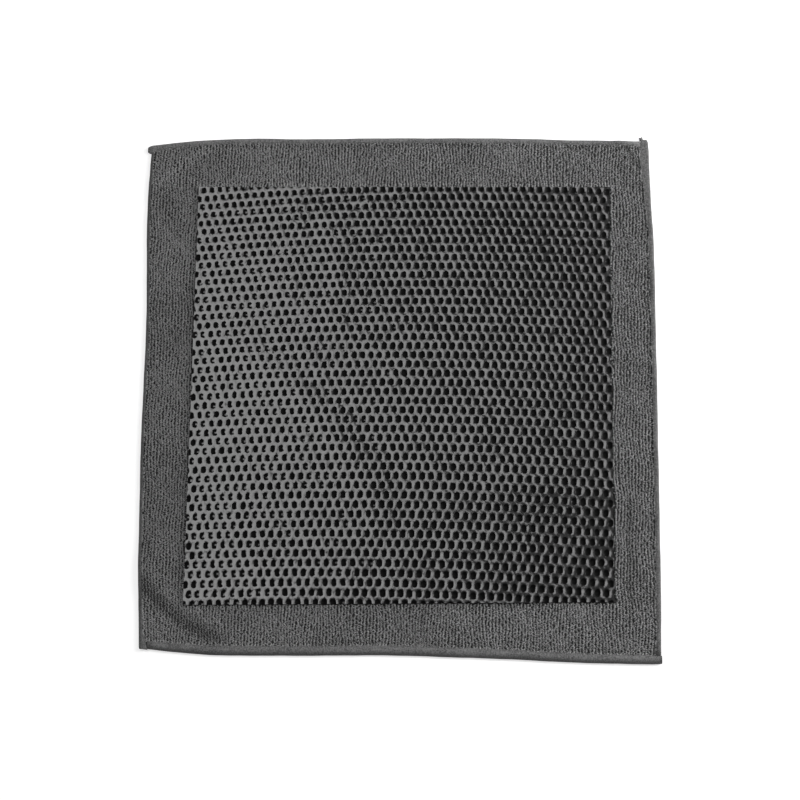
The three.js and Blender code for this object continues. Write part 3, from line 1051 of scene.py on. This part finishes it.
# %% The piles
CREASE_SHADE = 1.0  # painted shade on loops pressed into a crease, and painted light on loops in a raised one
PALER = {"bottom": 1.12, "top": 1.03}
DARKER_LEFT = 0.1

# Painted light: the taller a loop stands, the lighter its tone.
painted_height_light = ((top - 1.9) / 0.8).clip(0, 0.9)
loop_tone_and_painted_light = 0.65 * loop_tone_and_painted_light + 0.4 * painted_height_light
dimmer = 1 - DARKER_LEFT * (1 - smooth_step(-150, -70, loop_x))
for number, side in enumerate(["top", "bottom", "left", "right"]):
    pick = keep & (side_of == number)
    points, faces, owner, upward = beans(
        np.stack([loop_x, loop_y], -1)[pick],
        heading[pick],
        loop_length[pick],
        width[pick],
        (GROUND_TOP + 0.1 + folds)[pick],
        (top + folds)[pick],
        bend[pick],
    )
    # Painted shade: each loop is darker down its sides and at its ends than on its top, darker
    # where pressed into a crease and lighter where a crease is raised.
    tone_and_painted_light = (0.3 + 0.7 * upward) * loop_tone_and_painted_light[pick][owner]
    tone_and_painted_light = tone_and_painted_light * (1 - CREASE_SHADE * pressed[pick][owner]) * PALER.get(side, 1.0)
    tone_and_painted_light = tone_and_painted_light * dimmer[pick][owner]
    make_piece("pile_" + side, points, faces, ["pile"], {"tone_and_painted_light": tone_and_painted_light})

# %% [markdown]
# ## The tape binding
#
# Four lengths of narrow woven tape are folded over the edges in turn. Each butts against
# the one before it, and its far end runs on past the next corner. The section is a
# flattened loop round the cloth's edge: a soft outer fold, and two flaps that the
# stitches draw down. Each side has its own crown, and its outer fold is painted lighter
# or darker, a painted light and shade that differs from side to side. The section is
# swept along the edge as rings of points, with a slight ripple, because sewn tape is
# never quite smooth.

# %% Sections of the tape
# past the corner, how much thinner there, how much narrower there
TAPE_ENDS = {
    "top": (2.4, 1.1, 0.40),
    "left": (0.4, 0.2, 0.10),
    "bottom": (0.4, 0.2, 0.10),
    "right": (0.9, 0.5, 0.25),
}
# where the fold is highest, in from the cloth's edge, and how far the inner edge is drawn down
CROWN = {"top": (1.0, 0.45), "left": (1.15, 0.0), "bottom": (2.6, 0.75), "right": (0.6, 0.40)}
PAINTED_RIM_LIGHT_AND_SHADE = {"top": 1.25, "left": 0.55, "bottom": 0.40, "right": 0.8}  # painted light and shade on the outer fold: lighter on the top side, darker on the left, bottom and right
UPPER_STATIONS = 10  # points across the upper flap, and the lower one
LOWER_STATIONS = 6
MIDDLE_Z = 0.5 * TAPE_HEIGHT
LOWER_ROLL = 0.2
TAPE_START = TAPE_FLAP + 0.1
END_ROUND = 2.6


def bulge(n, crown):
    """Height of a rounded fold, 0 at its outside and 1 from its crown inwards."""
    short = np.clip((crown - n) / (crown + TAPE_OUTSIDE), 0, 1)
    return np.sqrt(1 - short * short)


def upper_height(side, n, flap):
    """Height of the tape's upper side, n in from the cloth's edge."""
    crown_at, drop = CROWN[side]
    crown = np.minimum(crown_at, 0.98 * flap)
    inner = np.clip((n - crown) / (flap - crown), 0, 1) ** 1.6
    return MIDDLE_Z + MIDDLE_Z * bulge(n, crown) - drop * inner


def tape_section(side, flap):
    """Rows of (n, z) round the section for each width of flap: in from the edge, and up."""
    flap = flap[:, None]
    spacing = 0.5 - 0.5 * np.cos(np.pi * np.linspace(0, 1, UPPER_STATIONS))
    upper_n = -TAPE_OUTSIDE + (flap + TAPE_OUTSIDE) * spacing
    upper_z = upper_height(side, upper_n, flap)
    spacing = np.linspace(1, 0, LOWER_STATIONS, endpoint=False) ** 1.6
    lower_n = -TAPE_OUTSIDE + (TAPE_FLAP + TAPE_OUTSIDE) * spacing + 0 * flap
    lower_z = MIDDLE_Z - MIDDLE_Z * bulge(lower_n, LOWER_ROLL)
    outer_n = np.concatenate([lower_n, upper_n], 1)
    outer_z = np.concatenate([lower_z, upper_z], 1)
    inner_n = np.maximum(outer_n[:, ::-1], -GAP)
    inner_share = (MIDDLE_Z - TAPE_THICK) / MIDDLE_Z
    inner_z = MIDDLE_Z + (outer_z[:, ::-1] - MIDDLE_Z) * inner_share
    return np.concatenate([outer_n, inner_n], 1), np.concatenate([outer_z, inner_z], 1)


# %% Paths of the tape
def tape_path(side):
    """Points on the cloth's edge, the way inwards there, and how far along each lies."""
    lines = grid_weights([0.0, TAPE_START], 20, 150, [])
    grid = np.stack(crossings(lines, lines), -1)
    edge, within = {
        "top": (grid[-1, ::-1], grid[-2, ::-1]),
        "left": (grid[::-1, 0], grid[::-1, 1]),
        "bottom": (grid[0], grid[1]),
        "right": (grid[:, -1], grid[:, -2]),
    }[side]
    inwards = within - edge
    inwards /= np.linalg.norm(inwards, axis=1)[:, None]
    run = np.concatenate([[0], np.cumsum(np.linalg.norm(np.diff(edge, axis=0), axis=1))])
    keep = run > TAPE_START - 0.1
    edge, inwards, run = edge[keep], inwards[keep], run[keep]
    tip = TAPE_OUTSIDE + TAPE_ENDS[side][0]
    ahead_way = edge[-1] - edge[-2]
    ahead_way /= np.linalg.norm(ahead_way)
    shares = np.array([0.3, 0.6, 0.85, 1.0])
    past = edge[-1] + ahead_way * (tip * shares)[:, None]
    edge = np.concatenate([edge, past])
    inwards = np.concatenate([inwards, np.repeat(inwards[-1:], len(shares), 0)])
    run = np.concatenate([run, run[-1] + tip * shares])
    return edge, inwards, run


# %% Sweep the tapes
def ripple(run, seed):
    """A gentle unevenness along the tape, from -1 to 1."""
    rng = np.random.default_rng(seed)
    waves = [np.sin(run / length + rng.uniform(0, 6.3)) for length in (1.9, 4.3, 9.7)]
    return (0.4 * waves[0] + 0.8 * waves[1] + waves[2]) / 2.2


def tape_mesh(side, seed):
    edge, inwards, run = tape_path(side)
    along = edge[:, 0] if side in ("top", "bottom") else edge[:, 1]
    n, z = tape_section(side, bare_tape(side, along) - TAPE_OUTSIDE)
    count, round_section = n.shape
    past, thinner, narrower = TAPE_ENDS[side]
    at_end = np.clip((run - run[-1] + END_ROUND) / END_ROUND, 0, 1) ** 2
    squeeze = 1 - at_end * thinner / TAPE_HEIGHT
    band_middle = 0.5 * (n.max(1) + n.min(1))[:, None]
    n = band_middle + (n - band_middle) * (1 - narrower * at_end)[:, None]
    waver = ripple(run, seed)[:, None]
    flap = np.clip(n / TAPE_FLAP, 0, 1)
    z = z + np.where(z > MIDDLE_Z, 0.09 * waver * flap, 0)
    n = n + 0.12 * waver * (1 - flap)
    n = np.where(n < 0, n * squeeze[:, None], n)
    z = MIDDLE_Z + (z - MIDDLE_Z) * squeeze[:, None]
    place = edge[:, None, :] + inwards[:, None, :] * n[..., None]
    z = z + relief(place[..., 0], place[..., 1])
    points = np.concatenate([place, z[..., None]], -1).reshape(-1, 3)
    half = round_section // 2
    stretch = np.hypot(np.diff(n, axis=1), np.diff(z, axis=1))
    around = np.concatenate([np.zeros((count, 1)), np.cumsum(stretch, 1)], 1)
    lengthways = np.repeat(run[:, None], round_section, 1)
    weave = np.stack([lengthways, around, np.zeros_like(around)], -1).reshape(-1, 3) * MM
    ids = np.arange(count * round_section).reshape(count, round_section)
    ahead_ids = np.roll(ids, -1, 1)
    quads = np.stack([ids[:-1], ids[1:], ahead_ids[1:], ahead_ids[:-1]], -1)
    faces = quads.reshape(-1, 4).tolist()
    for ring, backwards in ((ids[0], False), (ids[-1], True)):
        for k in range(half - 1):
            face = [ring[k], ring[k + 1], ring[-k - 2], ring[-k - 1]]
            faces.append([int(i) for i in (face[::-1] if backwards else face)])
    # Painted light and shade on the outer fold, fading to the plain band inwards.
    rim = PAINTED_RIM_LIGHT_AND_SHADE[side]
    tone_and_painted_light = (rim + (1 - rim) * smooth_step(0.2, 2.2, n)).ravel()
    return points, faces, {"weave": weave, "tone_and_painted_light": tone_and_painted_light}


tapes = {}
for seed, side in enumerate(["top", "left", "bottom", "right"]):
    points, faces, marks = tape_mesh(side, 20 + seed)
    name = "tape_" + side
    tapes[side] = make_piece(name, points, faces, ["tape"], marks)
    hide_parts("binding_" + side)

# %% [markdown]
# ## Stitches and a thread end
#
# A lockstitch shows as a row of short dashes near the inner edge of the tape. Each dash
# is one of the same small beans, laid along the tape and sunk into it. Where the last
# tape ends, the sewing thread was cut by hand and left as a little tuft.

# %% Stitches
STITCH_STEP = 2.9
STITCH_LENGTH = 2.3
STITCH_INSET = 0.7  # from the tape's inner edge
THREAD_WIDE = 0.36


def stitch_beans(side, rng):
    """Beans for one row of stitches, along one tape."""
    edge, inwards, run = tape_path(side)
    at = np.arange(run[0] + 1.5, run[-1] - 2.5, STITCH_STEP)
    at = at + rng.normal(0, 0.12, len(at))
    spot = np.stack([np.interp(at, run, edge[:, k]) for k in (0, 1)], -1)
    way = np.stack([np.interp(at, run, inwards[:, k]) for k in (0, 1)], -1)
    along = spot[:, 0] if side in ("top", "bottom") else spot[:, 1]
    flap = bare_tape(side, along) - TAPE_OUTSIDE
    inset = flap - STITCH_INSET + rng.normal(0, 0.06, len(at))
    spot = spot + way * inset[:, None]
    surface = upper_height(side, inset, flap) + relief(spot[:, 0], spot[:, 1])
    heading = np.arctan2(-way[:, 0], way[:, 1]) + rng.normal(0, 0.05, len(at))
    length, width, bend = [np.full(len(at), v) for v in (STITCH_LENGTH, THREAD_WIDE, 0.0)]
    return beans(spot, heading, length, width, surface - 0.12, surface + 0.10, bend)


rng = np.random.default_rng(31)
for side in tapes:
    points, faces, *_ = stitch_beans(side, rng)
    name = "stitches_" + side
    make_piece(name, points, faces, ["thread"])

# %% The cut thread end
TUFT_AT = (144.0, 149.9)
TUFT_STRANDS = 9
STRAND_WIDE = 0.5

spots = np.array(TUFT_AT) + rng.normal(0, 0.45, (TUFT_STRANDS, 2))
heading = np.pi / 2 + rng.normal(0.1, 0.45, TUFT_STRANDS)
length = rng.uniform(2.2, 3.4, TUFT_STRANDS)
low = rng.uniform(0.9, 1.5, TUFT_STRANDS)
high = low + rng.uniform(0.5, 1.0, TUFT_STRANDS)
bend = rng.normal(0, 0.3, TUFT_STRANDS)
width = np.full(TUFT_STRANDS, STRAND_WIDE)
points, faces, *_ = beans(spots, heading, length, width, low, high, bend)
thread_tuft = make_piece("thread_tuft", points, faces, ["tuft"])

# %% [markdown]
# ## The underside
#
# Below, the same terry shows as plain ribs, since the clay hides nothing there. Single
# loops would be a waste on the side that lies down, so each rib is one long rounded bar
# whose width changes from loop to loop. The bars follow the outline like the ground
# cloth's grid does, and end where the tape begins.

# %% Ribs of the underside
RIBS = 158
RIB_STATIONS = 98
RIB_INSET = TAPE_FLAP + 0.9
RIB_LOW = 0.06
RIB_SECTION = [(-1.0, 0.95), (-0.55, 0.0), (0.55, 0.0), (1.0, 0.95)]  # shares of width, heights


def rib_lines(count):
    """Weights for lines spread evenly between the tapes' inner edges."""
    return np.array([(1 - s, 0, 0, s, (1 - 2 * s) * RIB_INSET) for s in np.linspace(0, 1, count)])


def underside_ribs(rng):
    x, y = crossings(rib_lines(RIBS), rib_lines(RIB_STATIONS))
    x, y = x.T, y.T
    half = 0.82 * (1 + 0.10 * rng.normal(0, 1, x.shape)).clip(0.7, 1.1)
    x = x + 0.10 * rng.normal(0, 1, x.shape)
    low = RIB_LOW + 0.12 * rng.random(x.shape)
    folds = relief(x, y)
    rings = []
    for share, height in RIB_SECTION:
        z = np.where(height > 0, height, low) + folds
        rings.append(np.stack([x + share * half, y, z], -1))
    points = np.stack(rings, 2).reshape(-1, 3)
    corners = len(RIB_SECTION)
    ids = np.arange(x.size * corners).reshape(RIBS, RIB_STATIONS, corners)
    ahead_ids = np.roll(ids, -1, 2)
    quads = np.stack([ids[:, :-1], ids[:, 1:], ahead_ids[:, 1:], ahead_ids[:, :-1]], -1)
    faces = quads.reshape(-1, 4).tolist()
    faces += ids[:, 0].tolist()
    faces += ids[:, -1, ::-1].tolist()
    return points, faces


points, faces = underside_ribs(np.random.default_rng(37))
pile_underside = make_piece("pile_underside", points, faces, ["ribs"])

# %% [markdown]
#
# Last comes the floor: a wide pale plane lying just below the towel.

# %% Floor
FLOOR_HALF = 6.0
FLOOR_Z = -0.0004  # just below the towel, so that the two never share a surface


def floor_recipe(place):
    grain = place.noise(3.0, 2.0)
    return {
        "Base_Color": grain.grey(0.80, 0.84),
        "Roughness": 0.7 + 0.1 * grain,
        "Specular_IOR_Level": 0.2,
        "Emission_Color": (1.0, 1.0, 1.0, 1.0),
        "Emission_Strength": 0.5,
    }


floor_mesh = bpy.data.meshes.new("floor")
corners = [(-1, -1), (1, -1), (1, 1), (-1, 1)]
floor_points = [(x * FLOOR_HALF, y * FLOOR_HALF, FLOOR_Z) for x, y in corners]
floor_mesh.from_pydata(floor_points, [], [(0, 1, 2, 3)])
floor_mesh.materials.append(finish("pale_floor", floor_recipe))
floor = bpy.data.objects.new("floor", floor_mesh)
scene.collection.objects.link(floor)
